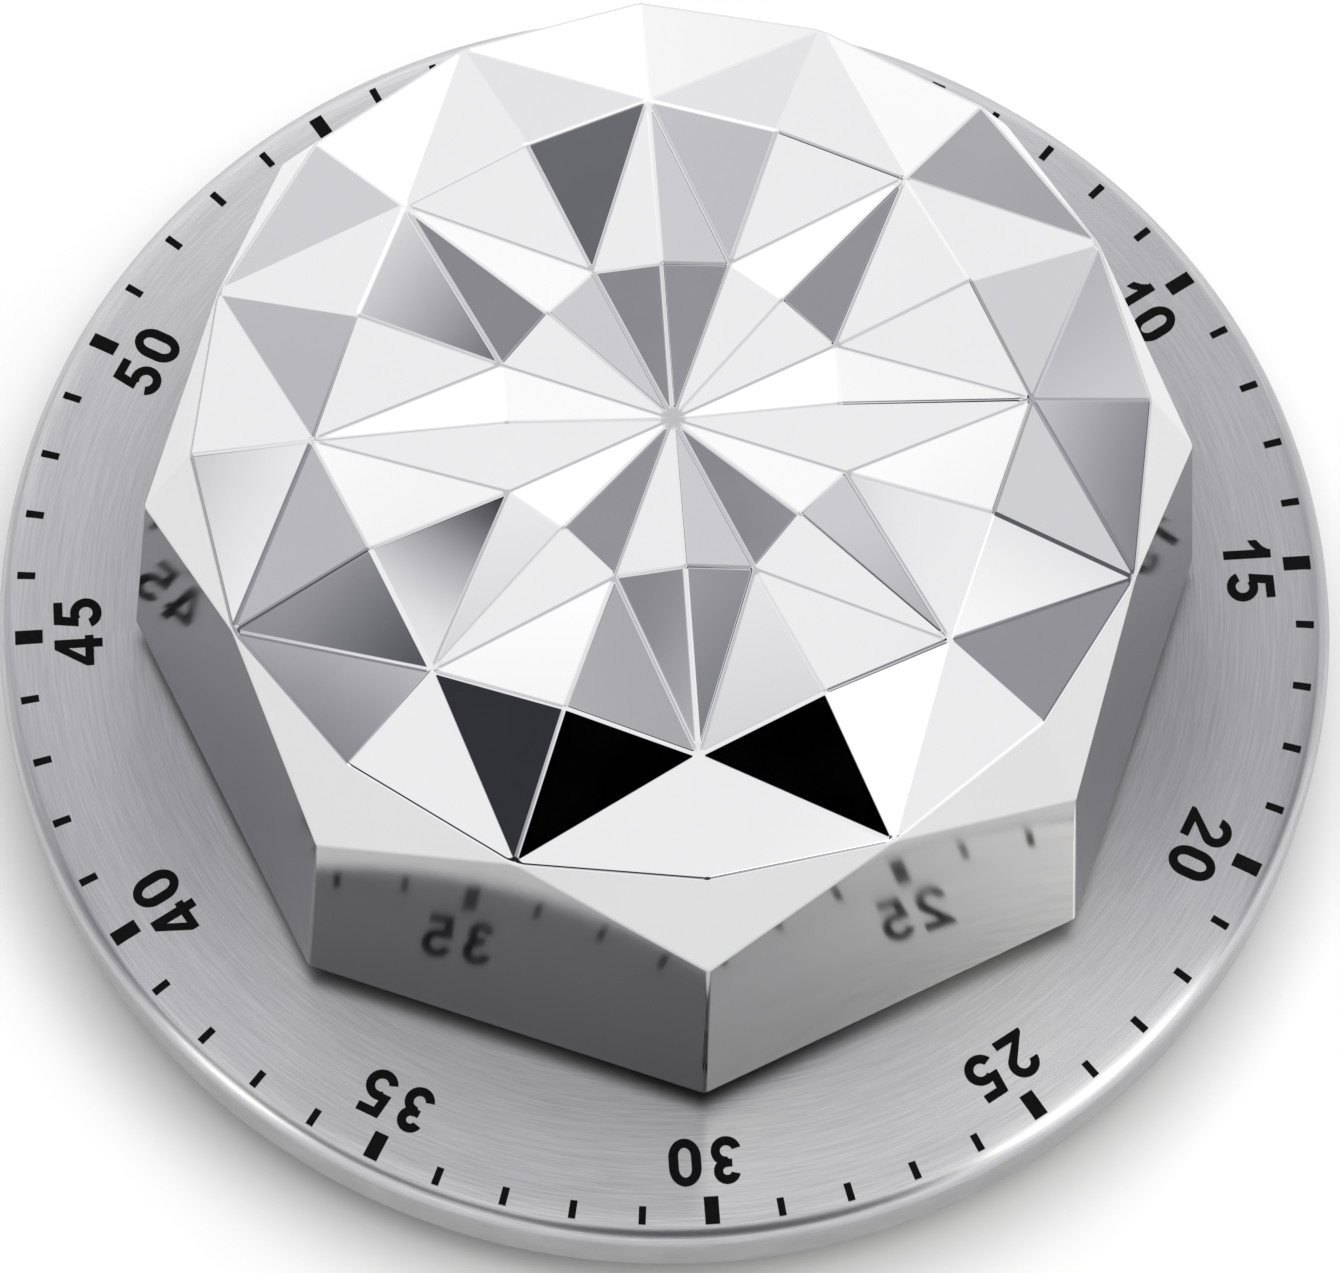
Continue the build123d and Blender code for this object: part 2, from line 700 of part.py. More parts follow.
with BuildPart() as bell:
    turned(BELL_OUTLINE)
finish(bell.part, "bell")

with BuildPart() as bell_screw:
    disc(BELL_SCREW_HEAD_R, (BELL_TOP, BELL_SCREW_HEAD_TOP))
    disc(BELL_SCREW_R, (BELL_SCREW_TIP + 0.2, BELL_TOP))
    slot(BELL_SCREW_HEAD_R, (BELL_SCREW_SLOT_FOOT, BELL_SCREW_HEAD_TOP))
finish(bell_screw.part, "bell_screw")


# ===========================================================================
# Knob
# ===========================================================================


def ring_point(ring, angle):
    """A corner of the knob: a ring's radius and height at an angle in degrees."""
    x, y = polar(ring[0], angle)
    return Vector(x, y, DIAL_TOP + ring[1])


def crown_facets(corner):
    """The twelve triangles and the wall of one eighth, from a corner to the next."""
    middle = corner + CORNER_STEP / 2
    other = corner + CORNER_STEP
    apex = Vector(0, 0, DIAL_TOP + APEX_HEIGHT)
    tip_a, tip_b = ring_point(STAR_TIP, corner), ring_point(STAR_TIP, other)
    valley = ring_point(STAR_VALLEY, middle)
    mid = ring_point(CROWN_MID, middle)
    crown_a = ring_point(CROWN_CORNER, corner)
    crown_b = ring_point(CROWN_CORNER, other)
    rim_a, rim_b = ring_point(RIM_CORNER, corner), ring_point(RIM_CORNER, other)
    peak = ring_point(RIM_PEAK, middle)
    top_a, top_b = ring_point(SKIRT_TOP, corner), ring_point(SKIRT_TOP, other)
    return [
        (apex, tip_a, valley),
        (apex, valley, tip_b),
        (tip_a, crown_a, valley),
        (valley, crown_a, mid),
        (valley, mid, crown_b),
        (valley, crown_b, tip_b),
        (crown_a, peak, mid),
        (mid, peak, crown_b),
        (crown_a, rim_a, peak),
        (crown_b, peak, rim_b),
        (top_a, peak, rim_a),
        (top_b, rim_b, peak),
    ]


def wall_outline(corner):
    """One wall of the skirt, a five-sided face from the foot up to the rim's peak."""
    other = corner + CORNER_STEP
    return (
        ring_point(SKIRT_FOOT, corner),
        ring_point(SKIRT_FOOT, other),
        ring_point(SKIRT_TOP, other),
        wall_peak(corner),
        ring_point(SKIRT_TOP, corner),
    )


def wall_peak(corner):
    """Where the wall's plane reaches the rim, half way between two corners."""
    foot_apothem = SKIRT_FOOT[0] * math.cos(math.radians(CORNER_STEP / 2))
    top_apothem = SKIRT_TOP[0] * math.cos(math.radians(CORNER_STEP / 2))
    lean = (foot_apothem - top_apothem) / (SKIRT_TOP[1] - SKIRT_FOOT[1])
    radius = foot_apothem - lean * (RIM_PEAK[1] - SKIRT_FOOT[1])
    return ring_point((radius, RIM_PEAK[1]), corner + CORNER_STEP / 2)


def knob_outside():
    """The knob's outside as one closed faceted solid."""
    corners = [FRONT_CORNER + CORNER_STEP * k for k in range(SIDES)]
    loops = []
    for corner in corners:
        peak = ring_point(RIM_PEAK, corner + CORNER_STEP / 2)
        exact_peak = wall_peak(corner)
        for loop in crown_facets(corner):
            loops.append([exact_peak if p == peak else p for p in loop])
        loops.append(list(wall_outline(corner)))
    loops.append([ring_point(SKIRT_FOOT, corner) for corner in reversed(corners)])
    faces = [Face(Wire.make_polygon(loop)) for loop in loops]
    return Solid(Shell(faces))


def octagon(apothem):
    """A regular octagon, its corners in line with the knob's, centred on the axis."""
    radius = apothem / math.cos(math.radians(CORNER_STEP / 2))
    return [polar(radius, FRONT_CORNER + CORNER_STEP * k) for k in range(SIDES)]


def pointer_prism(mode):
    """Adds or cuts the upright triangle at the foot of the back corner."""
    with BuildSketch(Plane.XZ.offset(-POINTER_FLOOR_R)) as triangle:
        Polygon(
            (-POINTER_HALF_WIDTH, 0),
            (POINTER_HALF_WIDTH, 0),
            (POINTER_HALF_WIDTH, POINTER_SIDE_TOP),
            (0, POINTER_TIP),
            (-POINTER_HALF_WIDTH, POINTER_SIDE_TOP),
            align=None,
        )
    extrude(triangle.sketch, amount=POINTER_FLOOR_R - DIAL_R, mode=mode)


def d_shape(z_range, mode=Mode.ADD):
    """Adds or cuts the main arbor's D-shaped end."""
    with BuildSketch(Plane.XY.offset(z_range[0])) as outline:
        Circle(ARBOR_R)
        with Locations((ARBOR_FLAT + ARBOR_R, 0)):
            Rectangle(2 * ARBOR_R, 2 * ARBOR_R, mode=Mode.SUBTRACT)
    extrude(outline.sketch, amount=z_range[1] - z_range[0], mode=mode)


KNOB_SCREW_SPOTS = [polar(KNOB_SCREW_RING_R, angle) for angle in KNOB_SCREW_ANGLES]

with BuildPart() as knob_shell:
    add(knob_outside())
    with BuildSketch(Plane.XY.offset(DIAL_TOP)) as cavity_foot:
        Polygon(*octagon(CAVITY_FOOT_APOTHEM), align=None)
    with BuildSketch(Plane.XY.offset(CAVITY_TOP)) as cavity_top:
        Polygon(*octagon(CAVITY_TOP_APOTHEM), align=None)
    loft(mode=Mode.SUBTRACT)
    for spot in KNOB_SCREW_SPOTS:
        screw_hole_z = (CAVITY_TOP, KNOB_SCREW_TIP + END_SHAKE)
        disc(KNOB_SCREW_SHANK_R, screw_hole_z, spot, Mode.SUBTRACT)
    pointer_prism(Mode.SUBTRACT)
finish(knob_shell.part, "knob_shell")

with BuildPart() as pointer_mark:
    add(knob_outside())
    pointer_prism(Mode.INTERSECT)
finish(pointer_mark.part, "pointer_mark")

with BuildPart() as knob_core:
    disc(KNOB_CORE_R, (KNOB_CORE_FOOT, CAVITY_TOP))
    d_shape((KNOB_CORE_FOOT, CAVITY_TOP), Mode.SUBTRACT)
    for spot in KNOB_SCREW_SPOTS:
        disc(KNOB_SCREW_HOLE_R, (KNOB_CORE_FOOT, CAVITY_TOP), spot, Mode.SUBTRACT)
        sink_z = (KNOB_CORE_FOOT, KNOB_SCREW_HEAD_Z[1])
        disc(KNOB_SCREW_SINK_R, sink_z, spot, Mode.SUBTRACT)
finish(knob_core.part, "knob_core")

with BuildPart() as knob_screws:
    for spot in KNOB_SCREW_SPOTS:
        disc(KNOB_SCREW_HEAD_R, KNOB_SCREW_HEAD_Z, spot)
        disc(KNOB_SCREW_SHANK_R, (KNOB_SCREW_HEAD_Z[1], KNOB_SCREW_TIP), spot)
        slot_z = (KNOB_SCREW_HEAD_Z[0], KNOB_SCREW_SLOT_TOP)
        slot(KNOB_SCREW_HOLE_R, slot_z, spot, crossed=True)
finish(knob_screws.part, "knob_screws")


# ===========================================================================
# Main arbor with what turns with it
# ===========================================================================

with BuildPart() as main_arbor:
    disc(ARBOR_R, (LOWER_PLATE[1] + END_SHAKE, ARBOR_SHOULDER))
    disc(ARBOR_PIVOT_R, (ARBOR_Z[0], LOWER_PLATE[1] + END_SHAKE))
    d_shape((ARBOR_SHOULDER, ARBOR_Z[1]))
    with BuildSketch(Plane.XY.offset(CLIP_Z[0])) as clip_groove:
        Circle(ARBOR_PIVOT_R)
        Circle(CLIP_GROOVE_R, mode=Mode.SUBTRACT)
    extrude(amount=CLIP_Z[1] - CLIP_Z[0], mode=Mode.SUBTRACT)
finish(main_arbor.part, "main_arbor")

with BuildPart() as arbor_clip:
    with BuildSketch(Plane.XY.offset(CLIP_Z[0])) as clip_ring:
        Circle(CLIP_R)
        Circle(CLIP_GROOVE_R, mode=Mode.SUBTRACT)
        with Locations((CLIP_R, 0)):
            Rectangle(2 * CLIP_R, CLIP_MOUTH, mode=Mode.SUBTRACT)
    extrude(amount=CLIP_Z[1] - CLIP_Z[0])
finish(arbor_clip.part, "arbor_clip")


def saw_outline(teeth, tip_radius, root_radius, lean):
    """Points of a saw-toothed wheel; lean is how far each tip leans, in tooth pitches."""
    pitch = 360 / teeth
    points = []
    for tooth in range(teeth):
        start = tooth * pitch
        points.append(polar(root_radius, start))
        points.append(polar(tip_radius, start + lean * pitch))
        points.append(polar(tip_radius, start + (lean + SAW_TIP) * pitch))
    return points


with BuildPart() as ratchet_wheel:
    saw = saw_outline(RATCHET_TEETH, RATCHET_R, RATCHET_ROOT_R, RATCHET_LEAN)
    prism(saw, RATCHET_Z)
    disc(ARBOR_R, RATCHET_Z, mode=Mode.SUBTRACT)
finish(ratchet_wheel.part, "ratchet_wheel")

with BuildPart() as stop_cam:
    disc(CAM_R, CAM_Z)
    bar(
        polar(CAM_R - NOTCH_DEPTH, NOTCH_ANGLE),
        polar(CAM_R + 2, NOTCH_ANGLE),
        2 * NOTCH_HALF_WIDTH,
        (LUG_TOP, CAM_Z[1]),
        Mode.SUBTRACT,
    )
    lug_angle = STOP_ANGLE - STOP_LUG_LAG
    bar(
        polar(CAM_R - 1, lug_angle),
        polar(LUG_R, lug_angle),
        2 * LUG_HALF_WIDTH,
        (CAM_Z[0], LUG_TOP),
    )
    disc(ARBOR_R, CAM_Z, mode=Mode.SUBTRACT)
finish(stop_cam.part, "stop_cam")


# ===========================================================================
# Wheel train
# ===========================================================================

def gear_outline(teeth, module, fill, tooth_at, centre):
    """Points of a toothed wheel with one tooth at the angle tooth_at."""
    pitch_radius = module * teeth / 2
    root = pitch_radius - DEDENDUM * module
    tip = pitch_radius + ADDENDUM * module
    half = fill * 180 / teeth
    points = []
    for tooth in range(teeth):
        angle = tooth_at + tooth * 360 / teeth
        corners = [
            (root, -half),
            (pitch_radius, -half),
            (tip, -half * TIP_FRACTION),
            (tip, half * TIP_FRACTION),
            (pitch_radius, half),
            (root, half),
        ]
        for radius, offset in corners:
            points.append(moved(polar(radius, angle + offset), *centre))
    return points


def heading(start, end):
    """Direction in degrees from one point to another."""
    return math.degrees(math.atan2(end[1] - start[1], end[0] - start[0]))


def windows(count, radius, ring, centre, z_range):
    """Cuts a ring of round windows into a wheel."""
    for index in range(count):
        spot = moved(polar(ring, 360 / count * index), *centre)
        disc(radius, z_range, spot, Mode.SUBTRACT)


def wheel(teeth, module, towards, centre, z_range, bore):
    """Adds a wheel with a tooth space that faces the next arbor."""
    tooth_at = heading(centre, towards) + 180 / teeth
    prism(gear_outline(teeth, module, WHEEL_TOOTH, tooth_at, centre), z_range)
    disc(bore, z_range, centre, Mode.SUBTRACT)


def pinion(leaves, module, towards, centre, z_range):
    """Adds an arbor between the plates with a pinion whose leaf faces its wheel."""
    leaf_at = heading(centre, towards)
    disc(SHAFT_R, (LOWER_PLATE[1] + END_SHAKE, TOP_PLATE[0] - END_SHAKE), centre)
    disc(PIVOT_R, (LOWER_PLATE[0], TOP_PLATE[1]), centre)
    prism(gear_outline(leaves, module, LEAF_TOOTH, leaf_at, centre), z_range)


MAIN_AT = (0, 0)

with BuildPart() as great_wheel:
    great_bore = ARBOR_R + RUNNING_FIT
    wheel(GREAT_TEETH, GREAT_MODULE, SECOND_AT, MAIN_AT, GREAT_Z, great_bore)
    disc(CLICK_PIVOT_R, GREAT_Z, polar(*CLICK_PIVOT_POLAR), Mode.SUBTRACT)
    disc(CLICK_SPRING_PIN_R, GREAT_Z, polar(*CLICK_SPRING_PIN), Mode.SUBTRACT)
finish(great_wheel.part, "great_wheel")

with BuildPart() as click:
    pivot = polar(*CLICK_PIVOT_POLAR)
    disc(CLICK_PIVOT_R, (GREAT_Z[0], RATCHET_Z[1]), pivot)
    disc(CLICK_BOSS_R, RATCHET_Z, pivot)
    prism([polar(*corner) for corner in CLICK_OUTLINE], RATCHET_Z)
finish(click.part, "click")

with BuildPart() as click_spring:
    pin = polar(*CLICK_SPRING_PIN)
    disc(CLICK_SPRING_PIN_R, (GREAT_Z[0], RATCHET_Z[1]), pin)
    bar(pin, polar(*CLICK_SPRING_END), CLICK_SPRING_SHEET, RATCHET_Z)
finish(click_spring.part, "click_spring")

with BuildPart() as second_pinion:
    pinion(SECOND_LEAVES, GREAT_MODULE, MAIN_AT, SECOND_AT, SECOND_PINION_Z)
finish(second_pinion.part, "second_pinion")

with BuildPart() as second_wheel:
    wheel(TRAIN_TEETH, TRAIN_MODULE, THIRD_AT, SECOND_AT, SECOND_WHEEL_Z, SHAFT_R)
    windows(*WHEEL_WINDOWS, SECOND_AT, SECOND_WHEEL_Z)
finish(second_wheel.part, "second_wheel")

with BuildPart() as third_pinion:
    pinion(TRAIN_LEAVES, TRAIN_MODULE, SECOND_AT, THIRD_AT, THIRD_PINION_Z)
finish(third_pinion.part, "third_pinion")

with BuildPart() as third_wheel:
    wheel(TRAIN_TEETH, TRAIN_MODULE, ESCAPE_AT, THIRD_AT, THIRD_WHEEL_Z, SHAFT_R)
    windows(*WHEEL_WINDOWS, THIRD_AT, THIRD_WHEEL_Z)
finish(third_wheel.part, "third_wheel")

with BuildPart() as escape_pinion:
    pinion(TRAIN_LEAVES, TRAIN_MODULE, THIRD_AT, ESCAPE_AT, ESCAPE_PINION_Z)
finish(escape_pinion.part, "escape_pinion")

with BuildPart() as escape_wheel:
    saw = saw_outline(ESCAPE_TEETH, ESCAPE_R, ESCAPE_ROOT_R, ESCAPE_LEAN)
    prism([moved(point, *ESCAPE_AT) for point in saw], ESCAPE_WHEEL_Z)
    disc(SHAFT_R, ESCAPE_WHEEL_Z, ESCAPE_AT, Mode.SUBTRACT)
    windows(*ESCAPE_WINDOWS, ESCAPE_AT, ESCAPE_WHEEL_Z)
finish(escape_wheel.part, "escape_wheel")


# ===========================================================================
# Pallet with its balance bar
# ===========================================================================

with BuildPart() as pallet_arbor:
    disc(SHAFT_R, (LOWER_PLATE[1] + END_SHAKE, TOP_PLATE[0] - END_SHAKE), PALLET_AT)
    disc(PIVOT_R, (LOWER_PLATE[0], TOP_PLATE[1]), PALLET_AT)
finish(pallet_arbor.part, "pallet_arbor")

with BuildPart() as pallet_anchor:
    facing = heading(ESCAPE_AT, PALLET_AT)
    disc(PALLET_BOSS_R, PALLET_Z, PALLET_AT)
    for side in (-1, 1):
        pin = moved(polar(PALLET_PIN_RING, facing + side * PALLET_SPAN), *ESCAPE_AT)
        bar(PALLET_AT, pin, PALLET_ARM_WIDTH, PALLET_Z)
        disc(PALLET_ARM_END_R, PALLET_Z, pin)
        disc(PALLET_PIN_R, (PALLET_PIN_FOOT, PALLET_Z[0]), pin)
    disc(SHAFT_R, PALLET_Z, PALLET_AT, Mode.SUBTRACT)
finish(pallet_anchor.part, "pallet_anchor")

with BuildPart() as inertia_bar:
    swing = PALLET_POLAR[1] + 90
    for side in (0, 180):
        end = moved(polar(BALANCE_REACH, swing + side), *PALLET_AT)
        bar(PALLET_AT, end, BALANCE_WIDTH, BALANCE_Z)
        disc(BALANCE_WEIGHT_R, BALANCE_WEIGHT_Z, end)
    disc(BALANCE_HUB_R, BALANCE_Z, PALLET_AT)
    disc(SHAFT_R, BALANCE_Z, PALLET_AT, Mode.SUBTRACT)
finish(inertia_bar.part, "inertia_bar")


# ===========================================================================
# Hammer
# ===========================================================================

HEAD_AT = polar(*HEAD_POLAR)

with BuildPart() as hammer_arbor:
    disc(HAMMER_SHAFT_R, (HEAD_Z[0], CAM_Z[1]), HAMMER_AT)
finish(hammer_arbor.part, "hammer_arbor")

with BuildPart() as trip_finger:
    nose = polar(CAM_R + FINGER_GAP + FINGER_NOSE_R, NOTCH_ANGLE)
    disc(FINGER_BOSS_R, FINGER_Z, HAMMER_AT)
    bar(HAMMER_AT, nose, FINGER_WIDTH, FINGER_Z)
    disc(FINGER_NOSE_R, FINGER_Z, nose)
    disc(HAMMER_SHAFT_R, FINGER_Z, HAMMER_AT, Mode.SUBTRACT)
finish(trip_finger.part, "trip_finger")

with BuildPart() as hammer_arm:
    disc(ARM_BOSS_R, ARM_Z, HAMMER_AT)
    bar(HAMMER_AT, HEAD_AT, ARM_WIDTH, ARM_Z)
    disc(HAMMER_SHAFT_R, ARM_Z, HAMMER_AT, Mode.SUBTRACT)
    disc(HEAD_R, ARM_Z, HEAD_AT, Mode.SUBTRACT)
finish(hammer_arm.part, "hammer_arm")

with BuildPart() as hammer_head:
    disc(HEAD_R, HEAD_Z, HEAD_AT)
finish(hammer_head.part, "hammer_head")


# ===========================================================================
# Springs
# ===========================================================================


def spiral_points(offset):
    """Points along the mainspring's spiral, shifted outwards by an offset."""
    steps_per_turn = 16
    steps = int(MAINSPRING_TURNS * steps_per_turn)
    growth = MAINSPRING_R[1] - MAINSPRING_R[0]
    points = []
    for step in range(steps + 1):
        fraction = step / steps
        radius = MAINSPRING_R[0] + growth * fraction + offset
        angle = SPRING_POST_POLAR[1] - MAINSPRING_TURNS * 360 * (1 - fraction)
        points.append(polar(radius, angle))
    return points


with BuildPart() as mainspring:
    inner = spiral_points(0)
    outer = spiral_points(MAINSPRING_SHEET)
    with BuildSketch(Plane.XY.offset(MAINSPRING_Z[0])) as strip:
        with BuildLine() as edge:
            Spline(*inner)
            Line(inner[-1], outer[-1])
            Spline(*outer)
            Line(outer[0], inner[0])
        make_face()
    extrude(amount=MAINSPRING_Z[1] - MAINSPRING_Z[0])
finish(mainspring.part, "mainspring")

with BuildPart() as hammer_spring:
    with BuildLine() as coil:
        Helix(
            pitch=HAMMER_COIL_PITCH,
            height=HAMMER_COIL_PITCH * HAMMER_COIL_TURNS,
            radius=HAMMER_COIL_R,
            center=(HAMMER_AT[0], HAMMER_AT[1], HAMMER_COIL_Z),
        )
    with BuildSketch(Plane(origin=coil.line @ 0, z_dir=coil.line % 0)) as wire:
        Circle(HAMMER_WIRE_R)
    sweep()
finish(hammer_spring.part, "hammer_spring")
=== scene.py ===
"""Looks of the kitchen timer: materials, dial and knob shapes, studio and camera.

Lengths are metres, except the camera's sensor and lens. The timer stands on z = 0
with its dial facing up.
"""

import json
import math

import bmesh
import bpy
from mathutils import Matrix, Vector


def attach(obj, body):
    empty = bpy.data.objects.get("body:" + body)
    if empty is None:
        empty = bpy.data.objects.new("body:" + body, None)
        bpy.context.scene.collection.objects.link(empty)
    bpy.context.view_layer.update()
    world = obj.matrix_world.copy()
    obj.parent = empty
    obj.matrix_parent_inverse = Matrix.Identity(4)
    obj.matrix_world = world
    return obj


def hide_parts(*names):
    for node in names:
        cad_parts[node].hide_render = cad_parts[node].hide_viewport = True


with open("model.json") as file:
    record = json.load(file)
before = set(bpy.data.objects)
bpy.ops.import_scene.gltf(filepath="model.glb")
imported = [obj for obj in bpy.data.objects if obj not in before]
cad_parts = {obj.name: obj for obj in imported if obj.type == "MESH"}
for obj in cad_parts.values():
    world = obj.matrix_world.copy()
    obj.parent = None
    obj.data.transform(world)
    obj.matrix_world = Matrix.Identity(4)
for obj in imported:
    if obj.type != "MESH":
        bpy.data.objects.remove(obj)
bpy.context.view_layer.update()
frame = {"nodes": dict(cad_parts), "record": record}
NODES = frame["nodes"]

MM = 0.001

# ---- dial cover ----------------------------------------------------------
DIAL_TOP = 9.0 * MM
DIAL_R = 39.0 * MM
DIAL_HOLE_R = 24.3 * MM
DIAL_SHEET = 0.6 * MM  # thickness of the pressed steel
DIAL_SKIRT_FOOT = 4.8 * MM
DIAL_FALL_START = 37.2 * MM  # the face starts to fall away towards the rim here
DIAL_FALL_END = 38.1 * MM  # and runs into the rim's rounding here
DIAL_FALL = 0.045 * MM
DIAL_SIDES = 240  # sides of the dial's circles
FALL_STEPS = 6
ROUND_STEPS = 14

# ---- knob ----------------------------------------------------------------
KNOB_EDGE = 0.17 * MM  # how far the rounding of the knob's ridges reaches each way
KNOB_EDGE_STEPS = 4
SAME_POINT = 0.002 * MM
SAME_FLAT = math.radians(0.4)  # neighbouring triangles closer than this are one facet
SMALLEST_FACET = 10 * MM * MM
SHARP = math.radians(35)  # edges sharper than this are not smoothed over
AREA_ONLY = 100  # weight at which only the largest faces set the normals

# ---- surface textures and painted shade ----------------------------------
NOISE_RANGE = (0.3, 0.7)  # where most values of a noise texture lie
WALL_SHADE_FACING = (0.15, 0.35)  # painted shade on the side walls; how far up a surface faces: still a wall, no longer one
WALL_SHADE_LEVEL = 0.66
PLATING_HAZE_FACING = (0.2, 0.5)
PLATING_HAZE = 0.045  # extra roughness on the walls
BRUSH_ARC_R = 35.0 * MM  # radius at which a turn round the dial is measured as arc
BRUSH_FINE = (12000, 320, 400)  # noise cells per metre outwards, round the dial and up
BRUSH_BROAD = (2500, 90, 100)
BRUSH_BROAD_SHARE = 0.15
# painted shade: the dial's sideways-facing skirt gets a darker colour than its face
SKIRT_SHADE_FACING = (0.1, 0.7)
SKIRT_SHADE_LEVEL = 0.7
KNOB_SHADE_BAND = (30.5 * MM, 35 * MM)  # painted shade near the knob: the face gets lighter from the first radius to the second
KNOB_SHADE_LEVEL = 0.84
METAL_LINES = (6000, 300, 2400)  # noise cells per metre along X, Y and Z
METAL_ROUGHNESS_SPREAD = 0.06
PLASTIC_ROUGHNESS_SPREAD = 0.07


# ===========================================================================
# Node helpers
# ===========================================================================


class NodeTree:
    """A node tree under construction, of a material or of the world."""

    def __init__(self, owner):
        owner.use_nodes = True
        self.tree = owner.node_tree
        self.tree.nodes.clear()

    def add(self, kind, **settings):
        """Adds a node and sets its plain properties."""
        node = self.tree.nodes.new(kind)
        for key, value in settings.items():
            setattr(node, key, value)
        return node

    def link(self, out, into):
        """Joins an output socket to an input socket."""
        self.tree.links.new(out, into)

    def math(self, operation, a, b=0.0):
        """A Math node's output; a and b are sockets or numbers."""
        node = self.add("ShaderNodeMath", operation=operation)
        for index, value in enumerate((a, b)):
            if isinstance(value, (int, float)):
                node.inputs[index].default_value = value
            else:
                self.link(value, node.inputs[index])
        return node.outputs[0]


class Shade(NodeTree):
    """A material under construction: its node tree and its shader."""

    def __init__(self, name):
        self.material = bpy.data.materials.new(name)
        super().__init__(self.material)
        self.shader = self.add("ShaderNodeBsdfPrincipled")
        output = self.add("ShaderNodeOutputMaterial")
        self.link(self.shader.outputs["BSDF"], output.inputs["Surface"])

    def set(self, values):
        """Sets the shader's own sockets by name."""
        for name, value in values.items():
            self.shader.inputs[name].default_value = value

    def feed(self, name, out):
        """Joins an output socket to one of the shader's own sockets."""
        self.link(out, self.shader.inputs[name])

    def position(self):
        """The point's place in the row frame, in metres."""
        return self.add("ShaderNodeTexCoord").outputs["Object"]

    def upward(self):
        """How far the surface faces up: 1 on top, 0 on a wall."""
        split = self.add("ShaderNodeSeparateXYZ")
        self.link(self.add("ShaderNodeTexCoord").outputs["Normal"], split.inputs[0])
        return split.outputs["Z"]

    def noise(self, vector, scale, detail=2.0, roughness=0.5):
        """A noise texture's value, from 0 to 1."""
        node = self.add("ShaderNodeTexNoise")
        node.inputs["Scale"].default_value = scale
        node.inputs["Detail"].default_value = detail
        node.inputs["Roughness"].default_value = roughness
        self.link(vector, node.inputs["Vector"])
        return node.outputs["Fac"]

    def ramp(self, value, low, high, to_low, to_high):
        """Maps value from low..high to to_low..to_high."""
        node = self.add("ShaderNodeMapRange")
        self.link(value, node.inputs["Value"])
        numbers = (low, high, to_low, to_high)
        for name, number in zip(("From Min", "From Max", "To Min", "To Max"), numbers):
            node.inputs[name].default_value = number
        return node.outputs["Result"]

    def colours(self, value, dark, light):
        """A colour between dark and light by value."""
        node = self.add("ShaderNodeMix", data_type="RGBA")
        self.link(value, node.inputs["Factor"])
        node.inputs[6].default_value = (*dark, 1)
        node.inputs[7].default_value = (*light, 1)
        return node.outputs[2]

    def bump(self, height, strength, distance):
        """Feeds a height to the shader's normal."""
        node = self.add("ShaderNodeBump")
        node.inputs["Strength"].default_value = strength
        node.inputs["Distance"].default_value = distance
        self.link(height, node.inputs["Height"])
        self.feed("Normal", node.outputs["Normal"])


def scaled(shade, vector, scale):
    """A vector or colour times three numbers, or times a socket's value."""
    node = shade.add("ShaderNodeVectorMath", operation="MULTIPLY")
    shade.link(vector, node.inputs[0])
    if isinstance(scale, tuple):
        node.inputs[1].default_value = scale
    else:
        shade.link(scale, node.inputs[1])
    return node.outputs["Vector"]


def circular_position(shade):
    """Radius, arc round the Z axis and height as one vector, in metres."""
    split = shade.add("ShaderNodeSeparateXYZ")
    shade.link(shade.position(), split.inputs[0])
    x, y, z = split.outputs
    x_squared = shade.math("MULTIPLY", x, x)
    y_squared = shade.math("MULTIPLY", y, y)
    radius = shade.math("SQRT", shade.math("ADD", x_squared, y_squared))
    turn = shade.math("ARCTAN2", y, x)
    join = shade.add("ShaderNodeCombineXYZ")
    shade.link(radius, join.inputs[0])
    shade.link(shade.math("MULTIPLY", turn, BRUSH_ARC_R), join.inputs[1])
    shade.link(z, join.inputs[2])
    return join.outputs[0]


# ===========================================================================
# Materials
# ===========================================================================


def chrome_plate():
    """Chrome on moulded plastic: a mirror on the facets, hazier on the side walls, whose colour
    is darkened as painted shade.
    """
    shade = Shade("chrome_plate")
    shade.set({"Metallic": 1.0})
    place = shade.position()
    cloud = shade.noise(place, 90, 3)
    tint = shade.colours(cloud, (0.665, 0.665, 0.675), (0.695, 0.695, 0.705))
    # painted shade: the side walls get a darker colour than the facets
    wall = shade.ramp(shade.upward(), *WALL_SHADE_FACING, WALL_SHADE_LEVEL, 1.0)
    shade.feed("Base Color", scaled(shade, tint, wall))
    smear = shade.ramp(shade.noise(place, 260, 4), *NOISE_RANGE, 0.03, 0.06)
    haze = shade.ramp(shade.upward(), *PLATING_HAZE_FACING, PLATING_HAZE, 0.0)
    shade.feed("Roughness", shade.math("ADD", smear, haze))
    shade.bump(shade.noise(place, 160, 2), 0.03, 0.02 * MM)
    return shade.material


